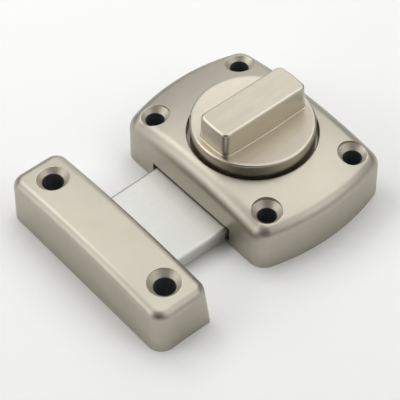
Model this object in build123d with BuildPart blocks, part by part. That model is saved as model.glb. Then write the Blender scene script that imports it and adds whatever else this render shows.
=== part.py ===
from build123d import *
from math import cos, radians, sin, sqrt
import os

# Thumb-turn sliding bolt latch: a surface case with a turn knob, its bolt, and the keeper that takes the bolt.
# Millimetres. The knob turns about +Z, through the origin on the mounting plane, and the bolt slides out along +X.
# The latch is locked: the bolt is out, its tip is in the keeper, and the grip lies along the bolt.

# Case
case_width = 39.4
case_length = 56.0
case_height = 15.1
case_end_bow = 3.6
case_corner_radius = 4.5
case_draft = 1.2
case_edge_radius = 3.0
case_wall = 2.0
case_crown_radius_across = 161.0
case_crown_radius_along = 119.0

# Countersunk screw holes of the case
case_hole_spacing_x = 27.2
case_hole_spacing_y = 40.2
case_hole_radius = 2.33
case_seat_radius = 3.7
case_seat_depth = 0.3
case_column_radius = 4.2

# Round recess that the knob turns in, and the floor that carries it
recess_gap = 0.75
recess_floor_z = 11.0
recess_floor_thickness = 1.6
recess_edge_round = 0.25
recess_wall = 1.65
end_pocket_start_y = 9.5

# Knob
knob_radius = 15.0
knob_rim_z = 17.75
knob_rim_land = 0.8
knob_rim_round = 0.45
knob_dish_depth = 0.65
hub_radius = 6.0
hub_square = 5.0
grip_length = 26.4
grip_width = 10.1
grip_end_bow = 0.35
grip_corner_radius = 1.8
grip_draft = 2.8
grip_top_z = 24.1
grip_edge_round = 0.6
grip_root_round = 0.2

# Bolt
bolt_width = 26.0
bolt_tip_width = 25.2
bolt_thickness = 3.6
bolt_proud = 1.5
bolt_wing_gap = 0.5
bolt_corner_radius = 1.5
bolt_top_round = 0.9
bolt_under_round = 0.5
bolt_stop_gap = 0.2
slot_side_gap = 0.9
slot_top_gap = 0.5

# Crank that drives the bolt through a roller in the bolt's notch
crank_radius = 14.6
crank_swing = 90.0
crank_thickness = 2.0
crank_hub_radius = 6.4
crank_eye_radius = 3.5
drive_pin_radius = 1.5
drive_pin_head_radius = 1.95
drive_pin_head_height = 0.3
roller_radius = 2.2
roller_side_gap = 0.5
notch_corner_radius = 1.0

# Washers, and the screw that holds the crank to the knob
wear_washer_thickness = 0.4
wear_washer_radius = 8.4
wave_washer_radius = 8.2
wave_washer_thickness = 0.22
wave_washer_space = 0.4
crank_washer_radius = 4.5
crank_washer_thickness = 0.6
crank_screw_radius = 1.5
crank_screw_length = 7.0
crank_screw_head_radius = 3.0
crank_screw_head_height = 1.3

# Spring-loaded ball that clicks into the recess floor at both ends of the knob's turn
ball_radius = 1.5
ball_circle_radius = 10.2
ball_track_depth = 0.25
ball_notch_depth = 0.3
spring_wire_radius = 0.18
spring_radius = 1.15
spring_length = 5.6
spring_turns = 6

# Pressed back plate with two lips that guide the bolt, and its small screws
plate_thickness = 1.0
plate_hole_radius = 2.4
plate_lip_length = 3.3
plate_lip_height = 3.4
plate_lip_gap = 0.3
plate_bend_radius = 0.9
plate_screw_spacing_x = 8.0
plate_screw_offset_y = 0.4
plate_screw_radius = 1.1
plate_screw_head_radius = 2.0
plate_screw_length = 6.5
plate_boss_radius = 2.2
cross_recess_width = 0.5
cross_recess_depth = 0.6

# Keeper
keeper_near_x = 37.2
keeper_width = 15.3
keeper_length = 56.0
keeper_height = 13.2
keeper_inset = 0.45
keeper_far_radius = 3.7
keeper_near_radius_base = 0.9
keeper_near_radius_top = 4.2
keeper_edge_radius = 2.3
keeper_wall = 2.0
keeper_crown_radius = 294.0
keeper_hole_offset_x = 7.05
keeper_hole_spacing = 40.8
keeper_hole_radius = 2.6
keeper_seat_radius = 4.05
keeper_pocket_length = 29.2
keeper_pocket_height = 10.6
keeper_pocket_corner_radius = 1.5

# Clearances
running_gap = 0.05
fit_gap = 0.02

# Places that follow from the sizes above
half_swing = radians(crank_swing / 2)
pin_x = crank_radius * sin(half_swing)
pin_y = crank_radius * cos(half_swing)
bolt_travel = 2 * pin_x
cavity_half_width = case_width / 2 - case_wall
bolt_under_z = plate_thickness + running_gap
bolt_top_z = bolt_under_z + bolt_thickness
bolt_shoulder_x = cavity_half_width - bolt_stop_gap
bolt_tail_x = bolt_travel - bolt_shoulder_x
bolt_tip_x = case_width / 2 + bolt_proud + bolt_travel
bolt_wing_y = case_hole_spacing_y / 2 - case_column_radius - bolt_wing_gap
slot_half_width = bolt_width / 2 + slot_side_gap
slot_top_z = bolt_top_z + slot_top_gap
recess_radius = knob_radius + recess_gap
recess_under_z = recess_floor_z - recess_floor_thickness
crank_top_z = recess_under_z - wave_washer_space
crank_under_z = crank_top_z - crank_thickness
disc_under_z = recess_floor_z + wear_washer_thickness + running_gap
dish_radius = knob_radius - knob_rim_land
dish_sphere_radius = (dish_radius**2 + knob_dish_depth**2) / (2 * knob_dish_depth)
ball_z = recess_floor_z - ball_track_depth + ball_radius
spring_under_z = ball_z + sqrt((ball_radius + spring_wire_radius) ** 2 - spring_radius**2) + fit_gap
spring_pocket_top_z = spring_under_z + spring_length + spring_wire_radius + fit_gap
washer_under_z = crank_under_z - crank_washer_thickness
roller_reach = crank_radius + roller_radius + plate_lip_gap
lip_inner_y = bolt_wing_y + running_gap
lip_near_x = sqrt(max(roller_reach**2 - lip_inner_y**2, 0))
keeper_far_x = keeper_near_x + keeper_width
case_holes = [
    (sx * case_hole_spacing_x / 2, sy * case_hole_spacing_y / 2) for sx in (-1, 1) for sy in (-1, 1)
]
plate_screw_y = case_hole_spacing_y / 2 + plate_screw_offset_y
plate_screws = [(sx * plate_screw_spacing_x / 2, sy * plate_screw_y) for sx in (-1, 1) for sy in (-1, 1)]
keeper_holes = [(keeper_near_x + keeper_hole_offset_x, side * keeper_hole_spacing / 2) for side in (-1, 1)]


def save(part, name):
    """Label a finished piece and write it as its own STEP file."""
    part.label = name
    export_step(part, f"parts/{name}.step")


def case_plan(inset):
    """Plan of the case, drawn inset from the outside: straight sides, bowed ends and rounded corners."""
    side_x = case_width / 2 - inset
    end_y = case_length / 2 - inset
    corner_y = end_y - case_end_bow
    with BuildSketch() as plan:
        with BuildLine():
            ThreePointArc((side_x, corner_y), (0, end_y), (-side_x, corner_y))
            Line((-side_x, corner_y), (-side_x, -corner_y))
            ThreePointArc((-side_x, -corner_y), (0, -end_y), (side_x, -corner_y))
            Line((side_x, -corner_y), (side_x, corner_y))
        make_face()
        fillet(plan.vertices(), radius=case_corner_radius - inset)
    return plan.sketch


def column_plan():
    """Plan of what stands inside the case: columns round the screw holes, run into the corners, and small bosses."""
    with BuildSketch() as plan:
        for x, y in case_holes:
            toward_corner = (Align.MIN if x > 0 else Align.MAX, Align.MIN if y > 0 else Align.MAX)
            with Locations((x, y)):
                Circle(case_column_radius)
                Rectangle(case_width / 2, case_length / 2, align=toward_corner)
        with Locations(*plate_screws):
            Circle(plate_boss_radius)
    return plan.sketch


def crown_profile(inset):
    """Lengthwise section under the case's crowned top, down to the line far below that the crown turns about."""
    radius = case_crown_radius_along - inset
    top_z = case_height - inset
    end_y = case_length / 2
    end_z = top_z - radius + sqrt(radius**2 - end_y**2)
    line_z = case_height - case_crown_radius_across
    with BuildSketch(Plane.YZ) as profile:
        with BuildLine():
            ThreePointArc((-end_y, end_z), (0, top_z), (end_y, end_z))
            Polyline((end_y, end_z), (end_y, line_z), (-end_y, line_z), (-end_y, end_z))
        make_face()
    return profile.sketch


def crown_z(x, y):
    """Height of the case's crowned top above a point of its plan."""
    drop_along = case_crown_radius_along - sqrt(case_crown_radius_along**2 - y**2)
    return case_height - case_crown_radius_across + sqrt((case_crown_radius_across - drop_along) ** 2 - x**2)


def keeper_plan(inset, near_radius, far_radius):
    """Plan of the keeper at one height: the side that faces the bolt stays upright and the others draw in."""
    end_y = keeper_length / 2 - inset
    near = [(keeper_near_x, end_y), (keeper_near_x, -end_y)]
    far = [(keeper_far_x - inset, -end_y), (keeper_far_x - inset, end_y)]
    with BuildSketch() as plan:
        with BuildLine():
            Polyline(*near, *far, close=True)
        make_face()
        fillet(plan.vertices().group_by(Axis.X)[-1], radius=far_radius)
        fillet(plan.vertices().group_by(Axis.X)[0], radius=near_radius)
    return plan.sketch


def keeper_crown_z(y):
    """Height of the keeper's top, which is crowned along its length."""
    return keeper_height - keeper_crown_radius + sqrt(keeper_crown_radius**2 - y**2)


os.makedirs("parts", exist_ok=True)
column_sketch = column_plan()
crown_axis = Axis((0, 0, case_height - case_crown_radius_across), (0, 1, 0))

# The two deep pockets that the core leaves behind the case's ends, clear of the recess
with BuildPart() as end_pockets:
    with BuildSketch(Plane.XY.offset(recess_under_z)):
        add(case_plan(case_wall))
        Rectangle(case_width, 2 * end_pocket_start_y, mode=Mode.SUBTRACT)
        Circle(recess_radius + recess_wall, mode=Mode.SUBTRACT)
        add(column_sketch, mode=Mode.SUBTRACT)
    extrude(amount=case_height)
    add(crown_profile(case_wall))
    revolve(axis=crown_axis, mode=Mode.INTERSECT)

# Case: a drafted casting with a crowned top, cored from behind
with BuildPart() as case:
    add(case_plan(0))
    extrude(amount=case_height + 1, taper=case_draft)
    add(crown_profile(0))
    revolve(axis=crown_axis, mode=Mode.INTERSECT)
    fillet(case.faces().sort_by(Axis.Z)[-1].edges(), radius=case_edge_radius)
    with BuildSketch(Plane.XY.offset(recess_floor_z)):
        Circle(recess_radius)
    extrude(amount=case_height, mode=Mode.SUBTRACT)
    recess_edges = case.edges(Select.NEW)
    fillet(recess_edges.filter_by_position(Axis.Z, recess_floor_z + recess_edge_round, case_height), recess_edge_round)
    with BuildSketch():
        Circle(hub_radius + running_gap)
    extrude(amount=case_height, mode=Mode.SUBTRACT)
    add(case_plan(case_wall))
    extrude(amount=plate_thickness, mode=Mode.SUBTRACT)
    with BuildSketch(Plane.XY.offset(plate_thickness)):
        add(case_plan(case_wall))
        add(column_sketch, mode=Mode.SUBTRACT)
    extrude(amount=recess_under_z - plate_thickness, mode=Mode.SUBTRACT)
    add(end_pockets.part, mode=Mode.SUBTRACT)
    with BuildSketch(Plane.YZ.offset(cavity_half_width - case_wall)):
        Rectangle(2 * slot_half_width, slot_top_z, align=(Align.CENTER, Align.MIN))
    extrude(amount=3 * case_wall, mode=Mode.SUBTRACT)
    with Locations(*[(x, y, crown_z(x, y) - case_seat_depth) for x, y in case_holes]):
        CounterSinkHole(radius=case_hole_radius, counter_sink_radius=case_seat_radius, counter_sink_angle=90)
    with BuildSketch():
        with Locations(*plate_screws):
            Circle(plate_screw_radius + fit_gap)
    extrude(amount=plate_screw_length, mode=Mode.SUBTRACT)
    with BuildSketch(Plane.XZ):
        with Locations((-ball_circle_radius, ball_z)):
            Circle(ball_radius + running_gap)
    revolve(axis=Axis.Z, revolution_arc=crank_swing, mode=Mode.SUBTRACT)
    with Locations((-ball_circle_radius, 0, ball_z), (0, -ball_circle_radius, ball_z)):
        Sphere(ball_radius + running_gap, mode=Mode.SUBTRACT)
    notch_z = ball_z - ball_notch_depth
    with Locations((-ball_circle_radius, 0, notch_z), (0, -ball_circle_radius, notch_z)):
        Sphere(ball_radius + running_gap, mode=Mode.SUBTRACT)
save(case.part, "case")

# Back plate: a pressed sheet in the case's open back, with a tongue under the bolt. Four lanced lips guide the
# bolt's wings, and stand where the swinging roller leaves them room.
with BuildPart() as back_plate:
    tongue_x = case_width / 2 - 2 * running_gap
    with BuildSketch():
        add(case_plan(case_wall + running_gap))
        with Locations((tongue_x, 0)):
            Rectangle(2 * case_wall, 2 * (slot_half_width - running_gap), align=(Align.MAX, Align.CENTER))
    extrude(amount=plate_thickness)
    with BuildSketch():
        with Locations(*case_holes):
            Circle(plate_hole_radius)
        for side_x in (-1, 1):
            for side_y in (-1, 1):
                window_align = (Align.MIN if side_x > 0 else Align.MAX, Align.MIN if side_y > 0 else Align.MAX)
                with Locations((side_x * lip_near_x, side_y * (lip_inner_y - plate_bend_radius))):
                    Rectangle(plate_lip_length, plate_lip_height + plate_bend_radius, align=window_align)
    extrude(amount=plate_thickness, mode=Mode.SUBTRACT)
    for side_x in (-1, 1):
        with BuildSketch(Plane.YZ.offset(side_x * lip_near_x)):
            for side_y in (-1, 1):
                lip_y = side_y * (lip_inner_y + plate_thickness / 2)
                with BuildLine():
                    FilletPolyline(
                        (side_y * (lip_inner_y - plate_bend_radius), plate_thickness / 2),
                        (lip_y, plate_thickness / 2),
                        (lip_y, plate_lip_height),
                        radius=plate_bend_radius,
                    )
                trace(line_width=plate_thickness)
        extrude(amount=side_x * plate_lip_length)
    with Locations(*[Location((x, y, 0), (180, 0, 0)) for x, y in plate_screws]):
        CounterSinkHole(
            radius=plate_screw_radius + fit_gap,
            counter_sink_radius=plate_screw_head_radius + fit_gap,
            counter_sink_angle=90,
        )
save(back_plate.part, "back_plate")

# Small countersunk screws of the back plate, their heads flush with its back
for number, (x, y) in enumerate(plate_screws, start=1):
    with BuildPart() as plate_screw:
        with BuildSketch(Plane.XZ):
            with BuildLine():
                cone_top_z = plate_screw_head_radius - plate_screw_radius
                Polyline(
                    (0, 0),
                    (plate_screw_head_radius, 0),
                    (plate_screw_radius, cone_top_z),
                    (plate_screw_radius, plate_screw_length - plate_screw_radius),
                    (0, plate_screw_length - running_gap),
                    close=True,
                )
            make_face()
        revolve(axis=Axis.Z)
        with BuildSketch():
            Rectangle(2 * plate_screw_radius, cross_recess_width)
            Rectangle(cross_recess_width, 2 * plate_screw_radius)
        extrude(amount=cross_recess_depth, mode=Mode.SUBTRACT)
    save(plate_screw.part.moved(Location((x, y, 0))), f"plate_screw_{number}")

# Knob: disc with a dished face and a raised rim, tapered grip, hub and square end, cast in one
with BuildPart() as knob:
    with BuildSketch(Plane.XZ):
        with BuildLine():
            dish_middle = dish_radius / 2
            dish_middle_z = knob_rim_z - knob_dish_depth + dish_sphere_radius
            dish_middle_z -= sqrt(dish_sphere_radius**2 - dish_middle**2)
            ThreePointArc(
                (0, knob_rim_z - knob_dish_depth), (dish_middle, dish_middle_z), (dish_radius, knob_rim_z)
            )
            Polyline(
                (dish_radius, knob_rim_z),
                (knob_radius, knob_rim_z),
                (knob_radius, disc_under_z),
                (hub_radius, disc_under_z),
                (hub_radius, crank_top_z),
                (0, crank_top_z),
                (0, knob_rim_z - knob_dish_depth),
            )
        make_face()
    revolve(axis=Axis.Z)
    rim_face = knob.faces().filter_by(GeomType.PLANE).sort_by(Axis.Z)[-1]
    fillet(rim_face.edges().sort_by(SortBy.RADIUS)[-1], radius=knob_rim_round)
    with BuildSketch(Plane.XY.offset(knob_rim_z - 2 * knob_dish_depth)) as grip_plan:
        with BuildLine():
            end_x = grip_length / 2
            side_y = grip_width / 2
            corner_x = end_x - grip_end_bow
            ThreePointArc((corner_x, -side_y), (end_x, 0), (corner_x, side_y))
            Line((corner_x, side_y), (-corner_x, side_y))
            ThreePointArc((-corner_x, side_y), (-end_x, 0), (-corner_x, -side_y))
            Line((-corner_x, -side_y), (corner_x, -side_y))
        make_face()
        fillet(grip_plan.vertices(), radius=grip_corner_radius)
    extrude(amount=grip_top_z - knob_rim_z + 2 * knob_dish_depth, taper=grip_draft)
    fillet(knob.edges(Select.NEW), radius=grip_root_round)
    fillet(knob.faces().sort_by(Axis.Z)[-1].edges(), radius=grip_edge_round)
    with BuildSketch(Plane.XY.offset(crank_top_z)):
        Rectangle(hub_square, hub_square)
    extrude(amount=running_gap - crank_thickness)
    with BuildSketch(Plane.XY.offset(crank_under_z)):
        Circle(crank_screw_radius + fit_gap)
    extrude(amount=crank_screw_length, mode=Mode.SUBTRACT)
    with BuildSketch(Plane.XY.offset(disc_under_z)):
        with Locations((-ball_circle_radius, 0)):
            Circle(ball_radius + running_gap)
    extrude(amount=spring_pocket_top_z - disc_under_z, mode=Mode.SUBTRACT)
save(knob.part, "knob")

# Wear washer: a plastic ring between the knob's disc and the recess floor
with BuildPart() as wear_washer:
    with BuildSketch(Plane.XY.offset(recess_floor_z)):
        Circle(wear_washer_radius)
        Circle(hub_radius + running_gap, mode=Mode.SUBTRACT)
    extrude(amount=wear_washer_thickness)
save(wear_washer.part, "wear_washer")

# Detent ball and the coil spring behind it, in a pocket under the grip
with BuildPart() as detent_ball:
    with Locations((-ball_circle_radius, 0, ball_z)):
        Sphere(ball_radius)
save(detent_ball.part, "detent_ball")

with BuildPart() as detent_spring:
    with BuildLine() as coil:
        Helix(
            pitch=spring_length / spring_turns,
            height=spring_length,
            radius=spring_radius,
            center=(-ball_circle_radius, 0, spring_under_z),
        )
    with BuildSketch(Plane(origin=coil.line @ 0, z_dir=coil.line % 0)):
        Circle(spring_wire_radius)
    sweep(path=coil.line, is_frenet=True)
save(detent_spring.part, "detent_spring")

# Wave washer: a bowed spring ring that takes up the play between the crank and the recess floor
with BuildPart() as wave_washer:
    wave_rise = wave_washer_space - wave_washer_thickness - 2 * running_gap
    wave_bend_radius = wave_washer_radius**2 / (2 * wave_rise)
    wave_centre_z = crank_top_z + running_gap + wave_bend_radius
    with BuildSketch(Plane.XZ):
        with Locations((0, wave_centre_z)):
            Circle(wave_bend_radius)
            Circle(wave_bend_radius - wave_washer_thickness, mode=Mode.SUBTRACT)
    extrude(amount=wave_washer_radius, both=True)
    with BuildSketch(Plane.XY.offset(crank_top_z)):
        Circle(wave_washer_radius)
        Circle(hub_radius + 2 * running_gap, mode=Mode.SUBTRACT)
    extrude(amount=wave_washer_space, mode=Mode.INTERSECT)
save(wave_washer.part, "wave_washer")

# Crank: a flat lever on the knob's square end, which swings above the bolt
with BuildPart() as crank:
    with BuildSketch(Plane.XY.offset(crank_under_z)):
        Circle(crank_hub_radius)
        with Locations((pin_x, pin_y)):
            Circle(crank_eye_radius)
        make_hull()
        Rectangle(hub_square + 2 * fit_gap, hub_square + 2 * fit_gap, mode=Mode.SUBTRACT)
        with Locations((pin_x, pin_y)):
            Circle(drive_pin_radius + fit_gap, mode=Mode.SUBTRACT)
    extrude(amount=crank_thickness)
save(crank.part, "crank")

with BuildPart() as crank_washer:
    with BuildSketch(Plane.XY.offset(washer_under_z)):
        Circle(crank_washer_radius)
        Circle(crank_screw_radius + 2 * running_gap, mode=Mode.SUBTRACT)
    extrude(amount=crank_washer_thickness)
save(crank_washer.part, "crank_washer")

with BuildPart() as crank_screw:
    with BuildSketch(Plane.XY.offset(washer_under_z - crank_screw_head_height)):
        Circle(crank_screw_head_radius)
    extrude(amount=crank_screw_head_height)
    fillet(crank_screw.edges().sort_by(Axis.Z)[0], radius=crank_screw_head_height / 3)
    with BuildSketch(Plane.XY.offset(washer_under_z - crank_screw_head_height)):
        Rectangle(2 * crank_screw_radius, cross_recess_width)
        Rectangle(cross_recess_width, 2 * crank_screw_radius)
    extrude(amount=cross_recess_depth, mode=Mode.SUBTRACT)
    with BuildSketch(Plane.XY.offset(washer_under_z)):
        Circle(crank_screw_radius)
    extrude(amount=crank_screw_length)
save(crank_screw.part, "crank_screw")

# Drive pin riveted into the crank's eye, and the roller that runs on it in the bolt's notch
with BuildPart() as drive_pin:
    pin_under_z = bolt_under_z + 2 * running_gap
    with BuildSketch(Plane.XY.offset(pin_under_z)):
        with Locations((pin_x, pin_y)):
            Circle(drive_pin_head_radius)
    extrude(amount=drive_pin_head_height)
    with BuildSketch(Plane.XY.offset(pin_under_z)):
        with Locations((pin_x, pin_y)):
            Circle(drive_pin_radius)
    extrude(amount=crank_top_z - pin_under_z)
save(drive_pin.part, "drive_pin")

with BuildPart() as drive_roller:
    roller_under_z = pin_under_z + drive_pin_head_height + running_gap
    with BuildSketch(Plane.XY.offset(roller_under_z)):
        with Locations((pin_x, pin_y)):
            Circle(roller_radius)
            Circle(drive_pin_radius + running_gap, mode=Mode.SUBTRACT)
    extrude(amount=crank_under_z - running_gap - roller_under_z)
save(drive_roller.part, "drive_roller")

# Bolt: a flat bar that narrows a little to its tip, with two wings at its tail and the roller's notch in one wing
with BuildPart() as bolt:
    with BuildSketch(Plane.XY.offset(bolt_under_z)) as bolt_plan:
        with BuildLine():
            Polyline(
                (bolt_tail_x, bolt_wing_y),
                (bolt_shoulder_x, bolt_wing_y),
                (bolt_shoulder_x, bolt_width / 2),
                (case_width / 2, bolt_width / 2),
                (bolt_tip_x, bolt_tip_width / 2),
                (bolt_tip_x, -bolt_tip_width / 2),
                (case_width / 2, -bolt_width / 2),
                (bolt_shoulder_x, -bolt_width / 2),
                (bolt_shoulder_x, -bolt_wing_y),
                (bolt_tail_x, -bolt_wing_y),
                close=True,
            )
        make_face()
        fillet(bolt_plan.vertices().group_by(Axis.X)[-1], radius=bolt_corner_radius)
    extrude(amount=bolt_thickness)
    fillet(bolt.faces().sort_by(Axis.Z)[-1].edges(), radius=bolt_top_round)
    fillet(bolt.faces().sort_by(Axis.Z)[0].edges(), radius=bolt_under_round)
    with BuildSketch(Plane.XY.offset(bolt_under_z)) as notch:
        with Locations((pin_x, pin_y - roller_radius - roller_side_gap)):
            Rectangle(2 * (roller_radius + roller_side_gap), bolt_wing_y, align=(Align.CENTER, Align.MIN))
        fillet(notch.vertices().group_by(Axis.Y)[0], radius=notch_corner_radius)
    extrude(amount=bolt_thickness, mode=Mode.SUBTRACT)
save(bolt.part, "bolt")

# Keeper: a drafted block with a crowned top, rounded away from sharp base corners on the bolt's side
with BuildPart() as keeper:
    add(keeper_plan(0, keeper_near_radius_base, keeper_far_radius))
    top_plan = keeper_plan(keeper_inset, keeper_near_radius_top, keeper_far_radius)
    add(top_plan.moved(Location((0, 0, keeper_height + 1))))
    loft()
    end_y = keeper_length / 2
    with BuildSketch(Plane.YZ.offset(keeper_near_x - 1)):
        with BuildLine():
            ThreePointArc((-end_y, keeper_crown_z(end_y)), (0, keeper_height), (end_y, keeper_crown_z(end_y)))
            Polyline((end_y, keeper_crown_z(end_y)), (end_y, 0), (-end_y, 0), (-end_y, keeper_crown_z(end_y)))
        make_face()
    extrude(amount=keeper_width + 2, mode=Mode.INTERSECT)
    fillet(keeper.faces().sort_by(Axis.Z)[-1].edges(), radius=keeper_edge_radius)
    with BuildSketch() as pocket:
        with Locations((keeper_near_x + keeper_wall, 0)):
            Rectangle(
                keeper_width - 2 * keeper_wall, keeper_pocket_length, align=(Align.MIN, Align.CENTER)
            )
        fillet(pocket.vertices(), radius=keeper_pocket_corner_radius)
    extrude(amount=keeper_pocket_height, mode=Mode.SUBTRACT)
    with BuildSketch(Plane.YZ.offset(keeper_near_x - 1)):
        Rectangle(2 * slot_half_width, slot_top_z, align=(Align.CENTER, Align.MIN))
    extrude(amount=2 * keeper_wall + 1, mode=Mode.SUBTRACT)
    with Locations(*[(x, y, keeper_crown_z(y)) for x, y in keeper_holes]):
        CounterSinkHole(
            radius=keeper_hole_radius, counter_sink_radius=keeper_seat_radius, counter_sink_angle=90
        )
save(keeper.part, "keeper")
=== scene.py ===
"""Looks of a surface-mounted bolt latch: satin nickel castings, a bright flat bolt and its inner works."""

import logging
import math
from dataclasses import dataclass
from enum import Enum
from typing import Dict, Optional, Sequence, Tuple

import bmesh
import bpy
from mathutils import Matrix, Vector


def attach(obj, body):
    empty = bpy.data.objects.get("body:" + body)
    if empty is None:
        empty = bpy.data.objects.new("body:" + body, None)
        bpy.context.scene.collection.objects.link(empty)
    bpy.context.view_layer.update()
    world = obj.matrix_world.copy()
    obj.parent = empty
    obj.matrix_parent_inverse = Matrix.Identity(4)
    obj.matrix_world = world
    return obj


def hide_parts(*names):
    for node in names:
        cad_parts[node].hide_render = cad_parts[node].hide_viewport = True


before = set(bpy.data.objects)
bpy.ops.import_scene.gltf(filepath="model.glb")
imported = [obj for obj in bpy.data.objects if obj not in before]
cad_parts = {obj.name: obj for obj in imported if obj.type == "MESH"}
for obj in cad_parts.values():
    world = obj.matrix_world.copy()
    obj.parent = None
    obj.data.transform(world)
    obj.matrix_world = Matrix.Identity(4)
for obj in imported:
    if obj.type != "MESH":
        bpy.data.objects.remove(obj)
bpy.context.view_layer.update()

MM = 0.001
NOISE_DETAIL = 2.0
# A noise texture seldom leaves this range, so it is stretched from here to the spread that is asked for.
NOISE_LOW, NOISE_HIGH = 0.3, 0.7
LOG = logging.getLogger("latch")

Point = Tuple[float, float]
Place = Tuple[float, float, float]
Colour = Tuple[float, float, float, float]


class Body(Enum):
    """The moving bodies that a piece can ride on."""

    CASE = "case"
    KNOB = "knob"
    BOLT = "bolt"


class Slot(Enum):
    """The record's material slots that new pieces take their finish from."""

    CASTING = "cast_zinc_satin_nickel"
    SCREW = "zinc_plated_screw"
    SPRING = "spring_steel"


class Input(Enum):
    """The kinds of named input that a geometry tree has."""

    GEOMETRY = "NodeSocketGeometry"
    SIZE = "NodeSocketFloat"
    COUNT = "NodeSocketInt"
    PLACE = "NodeSocketVector"
    MATERIAL = "NodeSocketMaterial"


def to_linear(hex_colour: str) -> Colour:
    """Turn an sRGB hex colour into linear values.

    Args:
        hex_colour: six hex digits after a hash.

    Returns:
        Red, green, blue and an alpha of one.
    """
    digits = hex_colour.lstrip("#")
    channels = [int(digits[i:i + 2], 16) / 255 for i in (0, 2, 4)]
    linear = [c / 12.92 if c <= 0.04045 else ((c + 0.055) / 1.055) ** 2.4 for c in channels]
    return linear[0], linear[1], linear[2], 1.0


def toward_sky(azimuth: float, elevation: float) -> Vector:
    """Give the unit vector to a place in the sky.

    Args:
        azimuth: degrees from X towards Y.
        elevation: degrees over the mounting plane.

    Returns:
        The direction.
    """
    turn, rise = math.radians(azimuth), math.radians(elevation)
    return Vector((math.cos(rise) * math.cos(turn), math.cos(rise) * math.sin(turn), math.sin(rise)))


def add_node(tree: bpy.types.NodeTree, kind: str, settings: Optional[Dict] = None,
             inputs: Optional[Dict] = None) -> bpy.types.Node:
    """Add one node, set its properties, and set or link its inputs.

    Args:
        tree: the shader or geometry tree that gets the node.
        kind: Blender's name of the node type.
        settings: property names and values.
        inputs: input names or numbers, each with a value, an output socket, or a list of output sockets.

    Returns:
        The new node.
    """
    node = tree.nodes.new(kind)
    for name, value in (settings or {}).items():
        setattr(node, name, value)
    for name, value in (inputs or {}).items():
        sources = value if isinstance(value, list) else [value]
        for source in sources:
            if isinstance(source, bpy.types.NodeSocket):
                tree.links.new(source, node.inputs[name])
            else:
                node.inputs[name].default_value = source
    return node


def lathe(name: str, profile: Sequence[Point], segments: int) -> bpy.types.Mesh:
    """Turn a profile about Z.

    Args:
        name: the mesh's name.
        profile: radius and height of each ring in millimetres; a radius of zero closes the form in a pole.
        segments: how many sides a full turn has.

    Returns:
        A mesh in metres whose faces point outwards.
    """
    turned = bmesh.new()
    rings = []
    for radius, height in profile:
        steps = segments if radius > 0 else 1
        angles = [2 * math.pi * step / steps for step in range(steps)]
        rings.append([turned.verts.new((radius * MM * math.cos(a), radius * MM * math.sin(a), height * MM))
                      for a in angles])
    for lower, upper in zip(rings, rings[1:]):
        for i in range(segments):
            j = i + 1
            corners = [lower[i % len(lower)], lower[j % len(lower)],
                       upper[j % len(upper)], upper[i % len(upper)]]
            turned.faces.new(list(dict.fromkeys(corners)))
    bmesh.ops.recalc_face_normals(turned, faces=turned.faces)
    mesh = bpy.data.meshes.new(name)
    turned.to_mesh(mesh)
    turned.free()
    return mesh


def smooth(mesh: bpy.types.Mesh, crease_degrees: float = 35.0) -> None:
    """Shade a mesh smooth, but leave edges sharper than the given angle as creases."""
    mesh.polygons.foreach_set("use_smooth", [True] * len(mesh.polygons))
    mesh.set_sharp_from_angle(angle=math.radians(crease_degrees))


class GeometryTree:
    """A Geometry Nodes tree with named inputs, which ends in Realize Instances and Set Material."""

    def __init__(self, name: str, inputs: Dict[str, Input]) -> None:
        """Start the tree.

        Args:
            name: the tree's name.
            inputs: the named inputs besides geometry and material, and the kind of each.
        """
        self.tree = bpy.data.node_groups.new(name, "GeometryNodeTree")
        self.tree.interface.new_socket("Geometry", in_out="OUTPUT", socket_type=Input.GEOMETRY.value)
        for label, kind in {"Geometry": Input.GEOMETRY, **inputs, "Material": Input.MATERIAL}.items():
            self.tree.interface.new_socket(label, in_out="INPUT", socket_type=kind.value)
        self.given = self.tree.nodes.new("NodeGroupInput").outputs

    def add(self, kind: str, settings: Optional[Dict] = None,
            inputs: Optional[Dict] = None) -> bpy.types.Node:
        """Add one node to the tree, as add_node does."""
        return add_node(self.tree, kind, settings, inputs)

    def close(self, geometry: bpy.types.NodeSocket) -> None:
        """Realise all instances, give the result its material, and lead it out.

        Args:
            geometry: the socket with the finished geometry.
        """
        real = self.add("GeometryNodeRealizeInstances", {}, {"Geometry": geometry}).outputs["Geometry"]
        dressed = self.add("GeometryNodeSetMaterial", {},
                           {"Geometry": real, "Material": self.given["Material"]}).outputs["Geometry"]
        self.add("NodeGroupOutput", {}, {"Geometry": dressed})

    def grow(self, name: str, seed: bpy.types.Mesh, values: Dict) -> bpy.types.Object:
        """Run the tree once and keep its result as a plain mesh.

        Args:
            name: the name of the piece.
            seed: the mesh that goes into the tree.
            values: the value of each named input.

        Returns:
            An object at the origin that holds the finished mesh and no modifier.
        """
        piece = bpy.data.objects.new(name, seed)
        bpy.context.scene.collection.objects.link(piece)
        modifier = piece.modifiers.new(name, "NODES")
        modifier.node_group = self.tree
        identifiers = {item.name: item.identifier for item in self.tree.interface.items_tree
                       if item.in_out == "INPUT"}
        for label, value in values.items():
            modifier[identifiers[label]] = value
        evaluated = piece.evaluated_get(bpy.context.evaluated_depsgraph_get())
        mesh = bpy.data.meshes.new_from_object(evaluated)
        piece.modifiers.remove(modifier)
        piece.data = mesh
        mesh.name = name
        smooth(mesh)
        return piece


@dataclass(frozen=True)
class Grain:
    """One fine pattern that a surface's making leaves in it: a noise whose cells have a real size.

    Attributes:
        cell_mm: length of a cell along X, Y and Z; a long cell is a brush or draw line.
        depth_mm: how deep it is cut.
        shade: share by which it lightens and darkens the colour.
        gloss: share by which it changes the roughness.
    """

    cell_mm: Place
    depth_mm: float
    shade: float
    gloss: float


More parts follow.
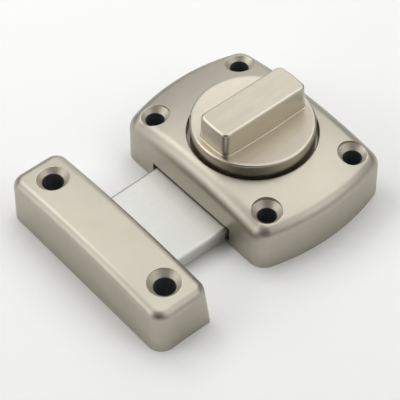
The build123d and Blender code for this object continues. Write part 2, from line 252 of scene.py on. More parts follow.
@dataclass(frozen=True)
class Countersinks:
    """Countersunk screw holes, mirrored about the X and Y axes, with the rings that their cutter left.

    Attributes:
        axis: X and Y of one hole's axis in millimetres, both positive.
        bore_radius: radius of the through hole.
        radius: radius of the countersink at the surface.
        ring_mm: distance from one ring to the next.
        ring_depth_mm: how deep the rings are.
        coarser: how much rougher the cut cone is than the blasted skin round it.
        cone_colour: the plate over the cut cone, warmer than over the blasted skin.
        bore_colour: the thin plate in the bore, where hardly any nickel reaches.
        bore_margin: how far past the bore's wall that colour goes, so that it takes in the whole wall.
    """

    axis: Point
    bore_radius: float
    radius: float
    ring_mm: float = 0.3
    ring_depth_mm: float = 0.006
    coarser: float = 0.12
    cone_painted_light: str = "#D0C9B9"
    bore_painted_shade: str = "#96979A"
    bore_margin: float = 0.05


@dataclass(frozen=True)
class Finish:
    """A surface: a colour with soft clouds in it, a roughness, and the grains that its making left.

    Attributes:
        name: the real material, in the material's name.
        colour: the colour between the clouds.
        cloud_colour: the colour in the clouds.
        roughness: the roughness before the grains change it.
        metallic: one for bare metal, zero for the rest.
        sheen: how strongly a surface that isn't metal mirrors; matt paper hardly does.
        cloud_mm: size of a cloud.
        grains: the fine patterns, one at least.
    """

    name: str
    colour: str
    cloud_colour: str
    roughness: float
    metallic: float = 1.0
    sheen: float = 0.5
    cloud_mm: float = 7.0
    grains: Tuple[Grain, ...] = (Grain((0.3, 0.3, 0.3), 0.004, 0.05, 0.1),)

    def build(self, piece: str, holes: Optional[Countersinks] = None) -> bpy.types.Material:
        """Make the material.

        Args:
            piece: the piece or group of pieces that wears it, for the material's name.
            holes: the piece's countersunk holes, if it has any.

        Returns:
            A node material that reads Object coordinates only.
        """
        material = bpy.data.materials.new(f"{self.name}_{piece}")
        material.use_nodes = True
        tree = material.node_tree
        shader = tree.nodes["Principled BSDF"]
        shader.inputs["Metallic"].default_value = self.metallic
        shader.inputs["Specular IOR Level"].default_value = self.sheen
        place = add_node(tree, "ShaderNodeTexCoord").outputs["Object"]
        in_mm = add_node(tree, "ShaderNodeVectorMath", {"operation": "SCALE"},
                         {"Vector": place, "Scale": 1 / MM}).outputs["Vector"]
        clouds = self._noise(tree, in_mm, (self.cloud_mm, self.cloud_mm, self.cloud_mm))
        colour = add_node(tree, "ShaderNodeMix", {"data_type": "RGBA"},
                          {"Factor": clouds, "A": to_linear(self.colour),
                           "B": to_linear(self.cloud_colour)}).outputs["Result"]
        roughness = self.roughness
        for grain in self.grains:
            noise = self._noise(tree, in_mm, grain.cell_mm)
            shade = self._vary(tree, noise, 1, grain.shade)
            colour = add_node(tree, "ShaderNodeVectorMath", {"operation": "SCALE"},
                              {"Vector": colour, "Scale": shade}).outputs["Vector"]
            gloss = self._vary(tree, noise, 1, grain.gloss)
            roughness = add_node(tree, "ShaderNodeMath", {"operation": "MULTIPLY"},
                                 {0: roughness, 1: gloss}).outputs["Value"]
            self._cut(tree, shader, noise, grain.depth_mm)
        if holes:
            colour, roughness = self._countersink(tree, shader, in_mm, colour, roughness, holes)
        tree.links.new(colour, shader.inputs["Base Color"])
        tree.links.new(roughness, shader.inputs["Roughness"])
        return material

    def _noise(self, tree: bpy.types.NodeTree, in_mm: bpy.types.NodeSocket,
               cell_mm: Place) -> bpy.types.NodeSocket:
        """Add a noise whose cells have the given size in millimetres, and return its value."""
        cells = tuple(1 / size for size in cell_mm)
        stretched = add_node(tree, "ShaderNodeMapping", {"vector_type": "POINT"},
                             {"Vector": in_mm, "Scale": cells}).outputs["Vector"]
        return add_node(tree, "ShaderNodeTexNoise", {"noise_dimensions": "3D"},
                        {"Vector": stretched, "Scale": 1.0, "Detail": NOISE_DETAIL}).outputs["Fac"]

    def _vary(self, tree: bpy.types.NodeTree, noise: bpy.types.NodeSocket, middle: float,
              spread: float) -> bpy.types.NodeSocket:
        """Turn a noise into a value that lies within a spread to each side of the middle."""
        return add_node(tree, "ShaderNodeMapRange", {}, {
            "Value": noise, "From Min": NOISE_LOW, "From Max": NOISE_HIGH, "To Min": middle - spread,
            "To Max": middle + spread}).outputs["Result"]

    def _cut(self, tree: bpy.types.NodeTree, shader: bpy.types.Node, noise: bpy.types.NodeSocket,
             depth_mm: float) -> None:
        """Press a noise into the surface, on top of the grains that are already there."""
        bump = add_node(tree, "ShaderNodeBump", {},
                        {"Height": noise, "Strength": 1.0, "Distance": depth_mm * MM})
        if shader.inputs["Normal"].is_linked:
            tree.links.new(shader.inputs["Normal"].links[0].from_socket, bump.inputs["Normal"])
        tree.links.new(bump.outputs["Normal"], shader.inputs["Normal"])

    def _countersink(self, tree: bpy.types.NodeTree, shader: bpy.types.Node, in_mm: bpy.types.NodeSocket,
                     colour: bpy.types.NodeSocket, roughness: bpy.types.NodeSocket,
                     holes: Countersinks) -> Tuple[bpy.types.NodeSocket, bpy.types.NodeSocket]:
        """Cut the rings of a countersink into the cones, make the cones coarser, and darken the bores.

        Args:
            tree: the material's node tree.
            shader: its Principled BSDF.
            in_mm: the object coordinates in millimetres.
            colour: the colour so far.
            roughness: the roughness so far.
            holes: the countersunk holes.

        Returns:
            The colour and the roughness with the holes in them.
        """
        mirrored = add_node(tree, "ShaderNodeVectorMath", {"operation": "ABSOLUTE"},
                            {0: in_mm}).outputs["Vector"]
        flat = add_node(tree, "ShaderNodeVectorMath", {"operation": "MULTIPLY"},
                        {0: mirrored, 1: (1, 1, 0)}).outputs["Vector"]
        away = add_node(tree, "ShaderNodeVectorMath", {"operation": "DISTANCE"},
                        {0: flat, 1: (*holes.axis, 0)}).outputs["Value"]
        in_cone, in_bore = (add_node(tree, "ShaderNodeMath", {"operation": "LESS_THAN"},
                                     {0: away, 1: reach}).outputs["Value"]
                            for reach in (holes.radius, holes.bore_radius + holes.bore_margin))
        turns = add_node(tree, "ShaderNodeMath", {"operation": "MULTIPLY"},
                         {0: away, 1: 2 * math.pi / holes.ring_mm}).outputs["Value"]
        wave = add_node(tree, "ShaderNodeMath", {"operation": "SINE"}, {0: turns}).outputs["Value"]
        rings = add_node(tree, "ShaderNodeMath", {"operation": "MULTIPLY"},
                         {0: wave, 1: in_cone}).outputs["Value"]
        self._cut(tree, shader, rings, holes.ring_depth_mm)
        coarse = add_node(tree, "ShaderNodeMath", {"operation": "MULTIPLY_ADD"},
                          {0: in_cone, 1: holes.coarser, 2: roughness}).outputs["Value"]
        # Painted light and shade: the cones get a lighter colour in place of light, and the bores a darker
        # one in place of the shade in the holes.
        for mask, tint in ((in_cone, holes.cone_painted_light), (in_bore, holes.bore_painted_shade)):
            colour = add_node(tree, "ShaderNodeMix", {"data_type": "RGBA"},
                              {"Factor": mask, "A": colour, "B": to_linear(tint)}).outputs["Result"]
        return colour, coarse


# Bead-blasted die casting under satin nickel: a warm, even sheen, with a fine tooth and soft clouds.
BLASTED_NICKEL = Finish(
    "satin_nickel_on_blasted_zinc", "#B0AA9B", "#B9B4A8", 0.43,
    grains=(Grain((0.35, 0.35, 0.35), 0.004, 0.035, 0.1),))

# The same plate over brushing along the grip: faint straight lines, so the sheen breaks up into streaks.
BRUSHED_NICKEL = Finish(
    "satin_nickel_on_brushed_zinc", "#BBB3A4", "#C4BDAE", 0.33,
    grains=(Grain((14, 0.3, 0.3), 0.0008, 0.025, 0.06), Grain((9, 1.4, 1.4), 0.002, 0.03, 0.06)))

# Cold-drawn flat bar under bright nickel: paler and cooler than the castings, with faint draw lines.
DRAWN_NICKEL = Finish(
    "bright_nickel_on_drawn_steel", "#BFBFBA", "#C6C6C1", 0.42,
    grains=(Grain((9, 0.3, 0.3), 0.002, 0.03, 0.08), Grain((0.4, 0.4, 0.4), 0.003, 0.03, 0.08)))

# Cold-rolled sheet, blanked and zinc plated: bluish grey with a straw tint in places and rolling lines.
ZINC_SHEET = Finish(
    "zinc_plated_rolled_sheet", "#A9AFB2", "#B4B3A6", 0.38, cloud_mm=4.0,
    grains=(Grain((0.35, 12, 0.35), 0.003, 0.05, 0.12),))

# Turned and rolled screws and pins, zinc plated: brighter and smoother than the sheet.
ZINC_TURNED = Finish(
    "zinc_plated_turned_steel", "#B2B6B9", "#BBBBB2", 0.28, cloud_mm=1.5,
    grains=(Grain((0.6, 0.6, 0.08), 0.001, 0.04, 0.15),))

# Hardened spring steel, oiled: dark, with a brownish blue cast and a tight highlight.
SPRING_STEEL = Finish(
    "oiled_spring_steel", "#66676B", "#706A63", 0.25, cloud_mm=2.0,
    grains=(Grain((0.2, 0.2, 0.2), 0.001, 0.04, 0.15),))

# Natural nylon, stamped from sheet: off-white and waxy.
NYLON = Finish(
    "natural_nylon", "#DAD6CA", "#E2DED2", 0.48, metallic=0.0, cloud_mm=3.0,
    grains=(Grain((0.15, 0.15, 0.15), 0.002, 0.02, 0.08),))

# Matt paper sweep: near white, no gloss, with a trace of fibre.
PAPER = Finish(
    "matt_white_paper", "#FBFBFA", "#FDFDFC", 0.9, metallic=0.0, sheen=0.0, cloud_mm=40.0,
    grains=(Grain((1.2, 1.2, 1.2), 0.0, 0.004, 0.02),))


def dress(material: bpy.types.Material, *nodes: str) -> None:
    """Give CAD nodes a material.

    Args:
        material: the finish.
        nodes: names of the nodes that wear it.
    """
    for name in nodes:
        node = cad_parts[name]
        node.data.materials.clear()
        node.data.materials.append(material)
        LOG.info("%s: %d faces in %s", name, len(node.data.polygons), material.name)


def fit(piece: bpy.types.Object, body: Body, slot: Slot, *nodes: str) -> None:
    """Put a new piece in the place of CAD nodes.

    Args:
        piece: the finished object.
        body: the body that it moves with.
        slot: the record's material slot of its finish.
        nodes: the CAD nodes that it stands for.
    """
    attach(piece, body.value)
    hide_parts(*nodes)
    LOG.info("%s: %d faces on body %s, for %s", piece.name, len(piece.data.polygons), body.value,
             ", ".join(nodes))


@dataclass(frozen=True)
class RolledBall:
    """A ball that touches a wall and the top over it, seen along the edge, in millimetres.

    Attributes:
        radius: its radius.
        top_reach: how far out it touches the top.
        reach: how far out its middle is.
        height: height of its middle.
        wall_reach: how far out it touches the wall.
        wall_height: height where it touches the wall.
    """

    radius: float
    top_reach: float
    reach: float
    height: float
    wall_reach: float
    wall_height: float


@dataclass(frozen=True)
class CrownedCasting:
    """The outside of the cast case, in millimetres: bowed ends, drafted walls, a top crowned both ways.

    Attributes:
        half_width: half the width at the foot.
        half_length: half the length at the foot.
        end_bow: how far the ends bow out.
        corner_radius: radius of the plan's corners.
        draft: how far the walls lean in, in degrees.
        height: height of the top's middle.
        crown_across: radius of the crown across the case.
        crown_along: radius of the crown along it.
        cast_radius: radius of the edge between walls and top in the CAD model.
        side_radius: radius of that edge along the straight sides, where the photograph shows it softer.
        tolerance: how near a point is to a surface that it lies on.
        probe: half the distance over which the top's slope is measured.
        rounds: how often a rolled ball's place is refined.
        weld: corners of the CAD mesh that lie nearer than this are joined.
    """

    half_width: float = 19.7
    half_length: float = 28.0
    end_bow: float = 3.6
    corner_radius: float = 4.5
    draft: float = 1.2
    height: float = 15.1
    crown_across: float = 161.0
    crown_along: float = 119.0
    cast_radius: float = 3.0
    side_radius: float = 4.0
    tolerance: float = 0.03
    probe: float = 0.01
    rounds: int = 12
    weld: float = 0.001

    def top(self, x: float, y: float) -> float:
        """Give the height of the crowned top over a point of the plan."""
        drop = self.crown_along - math.sqrt(self.crown_along ** 2 - y * y)
        return self.height - self.crown_across + math.sqrt((self.crown_across - drop) ** 2 - x * x)

    def outline(self, x: float, y: float) -> Tuple[float, Point]:
        """Find the nearest point of the plan's outline.

        Args:
            x: place across the case.
            y: place along it.

        Returns:
            How far the point lies inside the outline, and the direction straight out.
        """
        right, ahead = math.copysign(1, x), math.copysign(1, y)
        across, along = abs(x), abs(y)
        end_radius = (self.half_width ** 2 + self.end_bow ** 2) / (2 * self.end_bow)
        end_middle = self.half_length - end_radius
        corner_x = self.half_width - self.corner_radius
        corner_y = end_middle + math.sqrt((end_radius - self.corner_radius) ** 2 - corner_x ** 2)
        if along > corner_y and across * (corner_y - end_middle) >= corner_x * (along - end_middle):
            out = Vector((across - corner_x, along - corner_y))
            return self.corner_radius - out.length, (right * out.x / out.length, ahead * out.y / out.length)
        out = Vector((across, along - end_middle))
        if self.half_width - across < end_radius - out.length:
            return self.half_width - across, (right, 0.0)
        return end_radius - out.length, (right * out.x / out.length, ahead * out.y / out.length)

    def roll(self, foot: Point, outward: Point, radius: float) -> RolledBall:
        """Roll a ball along the edge to one point of the outline.

        Args:
            foot: the point of the outline.
            outward: the direction straight out of it.
            radius: the ball's radius.

        Returns:
            The ball, with reaches counted outwards from the foot.
        """
        lean = math.radians(self.draft)
        touch = -radius
        for _ in range(self.rounds):
            inner, here, outer = (self.top(*(f + o * (touch + shift) for f, o in zip(foot, outward)))
                                  for shift in (-self.probe, 0, self.probe))
            slope = math.atan((inner - outer) / (2 * self.probe))
            height = here - radius * math.cos(slope)
            touch = radius * math.sin(slope) - (radius + height * math.sin(lean)) / math.cos(lean)
        reach = touch - radius * math.sin(slope)
        return RolledBall(radius, touch, reach, height, reach + radius * math.cos(lean),
                          height + radius * math.sin(lean))

    def soften(self, place: Place) -> Place:
        """Move a point of the cast edge onto the edge that gets softer towards the straight sides.

        Args:
            place: a point of the casting.

        Returns:
            The moved point, or the same point if it doesn't lie on the outside near the edge.
        """
        x, y, z = place
        inside, outward = self.outline(x, y)
        if inside > 2 * self.side_radius or z < self.height / 2:
            return place
        radius = self.cast_radius + (self.side_radius - self.cast_radius) * outward[0] ** 2
        foot = (x + outward[0] * inside, y + outward[1] * inside)
        cast, soft = (self.roll(foot, outward, size) for size in (self.cast_radius, radius))
        out, lean = -inside, math.tan(math.radians(self.draft))
        kept = soft.wall_height - (radius - self.cast_radius)
        if abs(out + z * lean) < self.tolerance and kept < z < cast.wall_height:
            # The top of the wall is packed closer, so that it ends where the softer ball touches it.
            height = kept + (z - kept) * (soft.wall_height - kept) / (cast.wall_height - kept)
            moved = out + (z - height) * lean
        elif out > soft.top_reach:
            # What stands over the softer ball is lowered onto it, and spread between its two touching lines.
            share = (out - soft.top_reach) / (cast.wall_reach - soft.top_reach)
            moved = min(out + (soft.wall_reach - cast.wall_reach) * share, soft.wall_reach)
            height = soft.height + math.sqrt(max(0.0, soft.radius ** 2 - (moved - soft.reach) ** 2))
        else:
            return place
        if height < z:
            return x + outward[0] * (moved - out), y + outward[1] * (moved - out), height
        return place

    def copy(self, name: str, node: bpy.types.Object, material: bpy.types.Material) -> bpy.types.Object:
        """Copy the CAD node with the softer edge.

        Args:
            name: the piece's name.
            node: the CAD node.
            material: the finish.

        Returns:
            The new piece, whose triangles are joined.
        """
        cast = bmesh.new()
        cast.from_mesh(node.data)
        bmesh.ops.remove_doubles(cast, verts=cast.verts, dist=self.weld * MM)
        for vertex in cast.verts:
            x, y, z = vertex.co / MM
            vertex.co = Vector(self.soften((x, y, z))) * MM
        mesh = bpy.data.meshes.new(name)
        cast.to_mesh(mesh)
        cast.free()
        if "custom_normal" in mesh.attributes:
            mesh.attributes.remove(mesh.attributes["custom_normal"])
        smooth(mesh)
        mesh.materials.clear()
        mesh.materials.append(material)
        piece = bpy.data.objects.new(name, mesh)
        bpy.context.scene.collection.objects.link(piece)
        return piece


@dataclass(frozen=True)
class Screw:
    """A screw that points up, in millimetres: head below with a cross recess, threaded shank above.

    Attributes:
        head: radius and height of each corner of the head's profile, from its middle to the shank.
        crest_radius: radius over the thread.
        thread_depth: height of the thread over its core.
        pitch: rise of the thread in one turn.
        thread_start: height where the thread begins.
        thread_end: height where it ends.
        tip: radius and height of each corner of the tip's profile, up to its middle.
        recess_span: length of the cross recess.
        recess_width: width of its arms.
        recess_depth: its depth.
        second_arm: share of that depth to which the second arm goes, so that the two cuts share no floor.
        segments: how many sides the turned core has.
        thread_steps: how many steps one turn of the thread has.
    """

    head: Tuple[Point, ...]
    crest_radius: float
    thread_depth: float
    pitch: float
    thread_start: float
    thread_end: float
    tip: Tuple[Point, ...]
    recess_span: float
    recess_width: float = 0.5
    recess_depth: float = 0.6
    second_arm: float = 0.98
    segments: int = 40
    thread_steps: int = 24

    def row(self, name: str, material: bpy.types.Material, foot: Place, counts: Tuple[int, int] = (1, 1),
            spacings: Point = (0.0, 0.0)) -> bpy.types.Object:
        """Set copies of the screw on a grid.

        Args:
            name: the piece's name.
            material: the finish of the screws.
            foot: middle of the grid, in millimetres.
            counts: how many screws stand along X and Y.
            spacings: distances between neighbours along X and Y.

        Returns:
            One object with all the screws.
        """
        core_radius = self.crest_radius - self.thread_depth
        profile = (*self.head, (core_radius, self.head[-1][1]), *self.tip)
        tree = self._plant()
        return tree.grow(name, lathe(name, profile, self.segments), {
            "Foot": tuple(c * MM for c in foot),
            "Count X": counts[0],
            "Count Y": counts[1],
            "Reach X": spacings[0] * (counts[0] - 1) * MM,
            "Reach Y": spacings[1] * (counts[1] - 1) * MM,
            "Thread Middle Radius": core_radius * MM,
            "Thread Size": self.thread_depth * MM,
            "Thread Turns": (self.thread_end - self.thread_start) / self.pitch,
            "Thread Start": self.thread_start * MM,
            "Thread Length": (self.thread_end - self.thread_start) * MM,
            "Recess Span": self.recess_span * MM,
            "Recess Width": self.recess_width * MM,
            "Recess Depth": self.recess_depth * MM,
            "Material": material,
        })

    def _plant(self) -> GeometryTree:
        """Build the tree: cut the recess, wind the thread round the core, and set the screw on the grid.

        Returns:
            The finished tree.
        """
        tree = GeometryTree("threaded_screws", {
            "Foot": Input.PLACE, "Count X": Input.COUNT, "Count Y": Input.COUNT, "Reach X": Input.SIZE,
            "Reach Y": Input.SIZE, "Thread Middle Radius": Input.SIZE, "Thread Size": Input.SIZE,
            "Thread Turns": Input.SIZE, "Thread Start": Input.SIZE, "Thread Length": Input.SIZE,
            "Recess Span": Input.SIZE, "Recess Width": Input.SIZE, "Recess Depth": Input.SIZE})
        given = tree.given
        core = given["Geometry"]
        for long_axis, short_axis, share in (("X", "Y", 1.0), ("Y", "X", self.second_arm)):
            height = tree.add("ShaderNodeMath", {"operation": "MULTIPLY"},
                              {0: given["Recess Depth"], 1: 2 * share}).outputs["Value"]
            size = tree.add("ShaderNodeCombineXYZ", {}, {
                long_axis: given["Recess Span"], short_axis: given["Recess Width"],
                "Z": height}).outputs["Vector"]
            arm = tree.add("GeometryNodeMeshCube", {}, {"Size": size}).outputs["Mesh"]
            core = tree.add("GeometryNodeMeshBoolean", {"operation": "DIFFERENCE", "solver": "MANIFOLD"},
                            {"Mesh 1": core, "Mesh 2": arm}).outputs["Mesh"]
        helix = tree.add("GeometryNodeCurveSpiral", {}, {
            "Resolution": self.thread_steps, "Rotations": given["Thread Turns"],
            "Start Radius": given["Thread Middle Radius"], "End Radius": given["Thread Middle Radius"],
            "Height": given["Thread Length"]}).outputs["Curve"]
        upright = tree.add("GeometryNodeSetCurveNormal", {"mode": "Z_UP"}, {"Curve": helix}).outputs["Curve"]
        ridge = tree.add("GeometryNodeCurvePrimitiveCircle", {"mode": "RADIUS"},
                         {"Resolution": 4, "Radius": given["Thread Size"]}).outputs["Curve"]
        thread = tree.add("GeometryNodeCurveToMesh", {},
                          {"Curve": upright, "Profile Curve": ridge, "Fill Caps": True}).outputs["Mesh"]
        start = tree.add("ShaderNodeCombineXYZ", {}, {"Z": given["Thread Start"]}).outputs["Vector"]
        raised = tree.add("GeometryNodeTransform", {},
                          {"Geometry": thread, "Translation": start}).outputs["Geometry"]
        screw = tree.add("GeometryNodeJoinGeometry", {}, {"Geometry": [core, raised]}).outputs["Geometry"]
        grid = tree.add("GeometryNodeMeshGrid", {}, {
            "Size X": given["Reach X"], "Size Y": given["Reach Y"], "Vertices X": given["Count X"],
            "Vertices Y": given["Count Y"]}).outputs["Mesh"]
        places = tree.add("GeometryNodeTransform", {},
                          {"Geometry": grid, "Translation": given["Foot"]}).outputs["Geometry"]
        screws = tree.add("GeometryNodeInstanceOnPoints", {},
                          {"Points": places, "Instance": screw}).outputs["Instances"]
        tree.close(screws)
        return tree


@dataclass(frozen=True)
class CoilSpring:
    """A compression spring with closed ends, in millimetres, whose wire follows a helix about Z.

    Attributes:
        foot: middle of its lower end.
        coil_radius: radius of the wire's middle line.
        wire_radius: radius of the wire.
        length: height from the lowest to the highest wire's middle.
        turns: how many turns it has; the first and the last lie closed.
        turn_steps: how many steps one turn has.
        wire_sides: how many sides the wire has.
    """

    foot: Place
    coil_radius: float
    wire_radius: float
    length: float
    turns: float
    turn_steps: int = 28
    wire_sides: int = 12

    def wind(self, name: str, material: bpy.types.Material) -> bpy.types.Object:
        """Wind the spring.

        Args:
            name: the piece's name.
            material: its finish.

        Returns:
            One object with the whole wire.
        """
        tree = GeometryTree("coil_spring", {
            "Foot": Input.PLACE, "Coil Radius": Input.SIZE, "Wire Radius": Input.SIZE,
            "Turns": Input.SIZE, "Closed Share": Input.SIZE, "Open Share": Input.SIZE,
            "Closed Rise": Input.SIZE, "Open Rise": Input.SIZE})
        given = tree.given
        flat = tree.add("GeometryNodeCurveSpiral", {}, {
            "Resolution": self.turn_steps, "Rotations": given["Turns"], "Start Radius": given["Coil Radius"],
            "End Radius": given["Coil Radius"], "Height": 0.0}).outputs["Curve"]
        along = tree.add("GeometryNodeSplineParameter").outputs["Factor"]
        closed = tree.add("ShaderNodeMath", {"operation": "MULTIPLY"},
                          {0: along, 1: given["Closed Rise"]}).outputs["Value"]
        opened = tree.add("ShaderNodeMapRange", {"interpolation_type": "SMOOTHSTEP"}, {
            "Value": along, "From Min": given["Closed Share"], "From Max": given["Open Share"], "To Min": 0.0,
            "To Max": given["Open Rise"]}).outputs["Result"]
        height = tree.add("ShaderNodeMath", {"operation": "ADD"}, {0: closed, 1: opened}).outputs["Value"]
        rise = tree.add("ShaderNodeCombineXYZ", {}, {"Z": height}).outputs["Vector"]
        lift = tree.add("ShaderNodeVectorMath", {"operation": "ADD"},
                        {0: rise, 1: given["Foot"]}).outputs["Vector"]
        coil = tree.add("GeometryNodeSetPosition", {}, {"Geometry": flat, "Offset": lift}).outputs["Geometry"]
        section = tree.add("GeometryNodeCurvePrimitiveCircle", {"mode": "RADIUS"},
                           {"Resolution": self.wire_sides, "Radius": given["Wire Radius"]}).outputs["Curve"]
        tree.close(tree.add("GeometryNodeCurveToMesh", {},
                            {"Curve": coil, "Profile Curve": section, "Fill Caps": True}).outputs["Mesh"])
        closed_rise = 2 * self.wire_radius * self.turns
        return tree.grow(name, bpy.data.meshes.new(name), {
            "Foot": tuple(c * MM for c in self.foot),
            "Coil Radius": self.coil_radius * MM,
            "Wire Radius": self.wire_radius * MM,
            "Turns": self.turns,
            "Closed Share": 1 / self.turns,
            "Open Share": 1 - 1 / self.turns,
            "Closed Rise": closed_rise * MM,
            "Open Rise": (self.length - closed_rise) * MM,
            "Material": material,
        })


@dataclass
class CaseAssembly:
    """The cast case, the sheet that closes its back with four small screws, and the knob's wear washer."""

    casting: CrownedCasting = CrownedCasting()
    screw_holes: Countersinks = Countersinks((13.6, 20.1), 2.33, 3.7)
    plate_screw_spacings: Point = (8.0, 41.0)
    plate_screw: Screw = Screw(
        head=((0, 0), (1.97, 0), (1.08, 0.89)), crest_radius=1.08, thread_depth=0.2, pitch=0.75,
        thread_start=1.3, thread_end=5.2, tip=((0.88, 5.3), (0, 6.4)), recess_span=2.3)

    def build(self) -> None:
        """Soften the case's edge, dress the nodes and put the threaded screws in."""
        case = self.casting.copy("soft_edged_case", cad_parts["case"],
                                 BLASTED_NICKEL.build("case", self.screw_holes))
        fit(case, Body.CASE, Slot.CASTING, "case")
        dress(ZINC_SHEET.build("back_plate"), "back_plate")
        dress(NYLON.build("wear_washer"), "wear_washer")
        screws = self.plate_screw.row("plate_screws", ZINC_TURNED.build("plate_screws"), (0, 0, 0), (2, 2),
                                      self.plate_screw_spacings)
        fit(screws, Body.CASE, Slot.SCREW, "plate_screw_1", "plate_screw_2", "plate_screw_3", "plate_screw_4")


@dataclass
class KnobAssembly:
    """The turn knob with its detent, and the crank, pin and roller that it drives the bolt with."""

    spring: CoilSpring = CoilSpring((-10.2, 0, 13.495), 1.15, 0.18, 5.6, 6)
    crank_screw_foot: Place = (0, 0, 5.1)
    crank_screw: Screw = Screw(
        head=((0, 0), (2.57, 0), (2.83, 0.09), (2.96, 0.25), (3.0, 0.43), (3.0, 1.3)), crest_radius=1.5,
        thread_depth=0.25, pitch=0.6, thread_start=1.6, thread_end=7.9,
        tip=((1.25, 7.95), (0.95, 8.3), (0, 8.3)), recess_span=3.0)

    def build(self) -> None:
        """Dress the nodes, wind the spring and put the crank's screw in."""
        dress(BRUSHED_NICKEL.build("knob"), "knob")
        dress(ZINC_SHEET.build("crank"), "crank")
        turned = ZINC_TURNED.build("drive")
        dress(turned, "crank_washer", "drive_pin", "drive_roller")
        steel = SPRING_STEEL.build("detent")
        dress(steel, "detent_ball", "wave_washer")
        fit(self.spring.wind("coil_spring", steel), Body.KNOB, Slot.SPRING, "detent_spring")
        fit(self.crank_screw.row("threaded_crank_screw", turned, self.crank_screw_foot), Body.KNOB,
            Slot.SCREW, "crank_screw")


@dataclass
class BoltAssembly:
    """The flat bolt."""

    def build(self) -> None:
        """Dress the bolt."""
        dress(DRAWN_NICKEL.build("bolt"), "bolt")


@dataclass
class KeeperAssembly:
    """The cast keeper that takes the bolt's tip."""

    screw_holes: Countersinks = Countersinks((44.25, 20.4), 2.6, 4.05)

    def build(self) -> None:
        """Dress the keeper."""
        dress(BLASTED_NICKEL.build("keeper", self.screw_holes), "keeper")


@dataclass(frozen=True)
class Glow:
    """A soft light of the studio's sky.

    Attributes:
        azimuth: direction of its middle, in degrees from X towards Y.
        elevation: height of its middle over the mounting plane, in degrees.
        level: its strength in the middle.
        tightness: power of the cosine by which it falls off.
    """

    azimuth: float
    elevation: float
    level: float
    tightness: float


@dataclass(frozen=True)
class Softbox:
    """A square soft light near the latch, in millimetres.

    Attributes:
        azimuth: its direction from the aim, in degrees from X towards Y.
        elevation: its height over the mounting plane, in degrees.
        level: strength of its face.
        size: length of its sides.
        distance: its distance from the aim.
        aim: the point of the mounting plane that it faces.
    """

    azimuth: float
    elevation: float
    level: float
    size: float = 160.0
    distance: float = 360.0
    aim: Point = (16.0, 0.0)


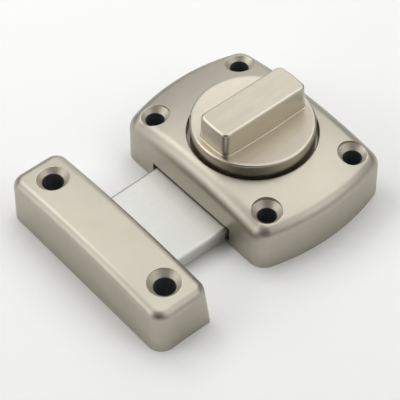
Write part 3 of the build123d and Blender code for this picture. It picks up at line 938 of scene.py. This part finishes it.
@dataclass
class Studio:
    """A white paper sweep under soft lights far and near, and a camera at the photograph's angle.

    Attributes:
        azimuth: turn of the camera from -Y towards X, in degrees.
        elevation: its height over the mounting plane, in degrees.
        roll: its turn about its own line of sight, in degrees.
        distance_mm: its distance from the target.
        target_mm: the point of the mounting plane that it looks at.
        focal_pixels: its focal length in pixels of the photograph.
        image_pixels: width of the photograph in pixels.
        sensor_width: width of its sensor in millimetres.
        sweep_radius_mm: radius of the sweep's flat floor.
        sweep_bend_mm: radius at which its rim curves up.
        sweep_height_mm: height of the rim.
        glows: the soft lights of the world.
        softboxes: the near lights.
    """

    azimuth: float = 140.1837
    elevation: float = 49.2485
    roll: float = -1.0229
    distance_mm: float = 365.7173
    target_mm: Point = (15.8829, -0.9418)
    focal_pixels: float = 1520.865
    image_pixels: float = 400.0
    sensor_width: float = 36.0
    sweep_radius_mm: float = 1400.0
    sweep_bend_mm: float = 300.0
    sweep_height_mm: float = 250.0
    glows: Tuple[Glow, ...] = (
        Glow(270, 70, 0.76, 16),
        Glow(330, 30, 3.04, 18),
        Glow(300, 54, 1.42, 30),
        Glow(205, 62, 2.30, 22),
        Glow(130, 50, 1.59, 12),
        Glow(120, 30, 0.66, 18),
        Glow(95, 30, 0.42, 18),
        Glow(220, 12, 1.25, 22),
    )
    softboxes: Tuple[Softbox, ...] = (
        Softbox(270, 50, 2.85),
        Softbox(190, 50, 0.90),
        Softbox(230, 36, 0.85),
    )

    def build(self) -> None:
        """Set up light, camera and sweep."""
        bpy.context.scene.view_settings.view_transform = "Standard"
        self.light_world()
        self.hang_softboxes()
        self.place_camera()
        self.lay_sweep()

    def light_world(self) -> None:
        """Light the latch from the world, as the sum of the soft lights."""
        world = bpy.data.worlds.new("studio")
        world.use_nodes = True
        tree = world.node_tree
        direction = add_node(tree, "ShaderNodeTexCoord").outputs["Generated"]
        total = None
        for glow in self.glows:
            toward = add_node(tree, "ShaderNodeVectorMath", {"operation": "DOT_PRODUCT"},
                              {0: direction, 1: toward_sky(glow.azimuth, glow.elevation)}).outputs["Value"]
            ahead = add_node(tree, "ShaderNodeMath", {"operation": "MAXIMUM"},
                             {0: toward, 1: 0.0}).outputs["Value"]
            falloff = add_node(tree, "ShaderNodeMath", {"operation": "POWER"},
                               {0: ahead, 1: glow.tightness}).outputs["Value"]
            light = add_node(tree, "ShaderNodeMath", {"operation": "MULTIPLY"},
                             {0: falloff, 1: glow.level}).outputs["Value"]
            total = light if total is None else add_node(tree, "ShaderNodeMath", {"operation": "ADD"},
                                                         {0: total, 1: light}).outputs["Value"]
        background = tree.nodes["Background"]
        background.inputs["Color"].default_value = to_linear("#FFFFFF")
        tree.links.new(total, background.inputs["Strength"])
        bpy.context.scene.world = world

    def hang_softboxes(self) -> None:
        """Hang the near lights; the power of each gives its face the stated level."""
        for box in self.softboxes:
            lamp = bpy.data.lights.new("softbox", "AREA")
            lamp.shape = "SQUARE"
            lamp.size = box.size * MM
            lamp.energy = box.level * math.pi * lamp.size ** 2
            back = toward_sky(box.azimuth, box.elevation)
            place = Vector((*box.aim, 0)) * MM + back * box.distance * MM
            softbox = bpy.data.objects.new("softbox", lamp)
            turn = back.to_track_quat("Z", "Y").to_matrix().to_4x4()
            softbox.matrix_world = Matrix.Translation(place) @ turn
            softbox.visible_camera = False
            bpy.context.scene.collection.objects.link(softbox)

    def place_camera(self) -> None:
        """Put the camera where the photograph was taken from."""
        azimuth, elevation, roll = (math.radians(a) for a in (self.azimuth, self.elevation, self.roll))
        back = Vector((math.sin(azimuth) * math.cos(elevation), -math.cos(azimuth) * math.cos(elevation),
                       math.sin(elevation)))
        right = Vector((math.cos(azimuth), math.sin(azimuth), 0))
        up = back.cross(right)
        turned_right = math.cos(roll) * right + math.sin(roll) * up
        turned_up = math.cos(roll) * up - math.sin(roll) * right
        lens = bpy.data.cameras.new("photo_camera")
        lens.sensor_width = self.sensor_width
        lens.lens = self.sensor_width * self.focal_pixels / self.image_pixels
        camera = bpy.data.objects.new("photo_camera", lens)
        axes = Matrix((turned_right, turned_up, back)).transposed()
        place = Vector((*self.target_mm, 0)) * MM + back * self.distance_mm * MM
        camera.matrix_world = Matrix.Translation(place) @ axes.to_4x4()
        bpy.context.scene.collection.objects.link(camera)
        bpy.context.scene.camera = camera

    def lay_sweep(self, bend_steps: int = 12, segments: int = 96) -> None:
        """Lay the paper floor, whose rim curves up all round.

        Args:
            bend_steps: faces from the flat to the top of the rim.
            segments: faces round the sweep.
        """
        bend = math.acos(1 - self.sweep_height_mm / self.sweep_bend_mm)
        turns = [bend * step / bend_steps for step in range(bend_steps + 1)]
        rim = [(self.sweep_radius_mm + self.sweep_bend_mm * math.sin(turn),
                self.sweep_bend_mm * (1 - math.cos(turn))) for turn in turns]
        mesh = lathe("paper_sweep", [(0, 0), *rim], segments)
        smooth(mesh)
        mesh.materials.append(PAPER.build("sweep"))
        sweep = bpy.data.objects.new("paper_sweep", mesh)
        bpy.context.scene.collection.objects.link(sweep)


def main() -> None:
    """Build the studio and dress each sub-assembly in turn."""
    logging.basicConfig(level=logging.INFO, format="%(name)s: %(message)s")
    Studio().build()
    for assembly in (CaseAssembly(), KnobAssembly(), BoltAssembly(), KeeperAssembly()):
        LOG.info("%s: %s", type(assembly).__name__, type(assembly).__doc__)
        assembly.build()


if __name__ == "__main__":
    main()
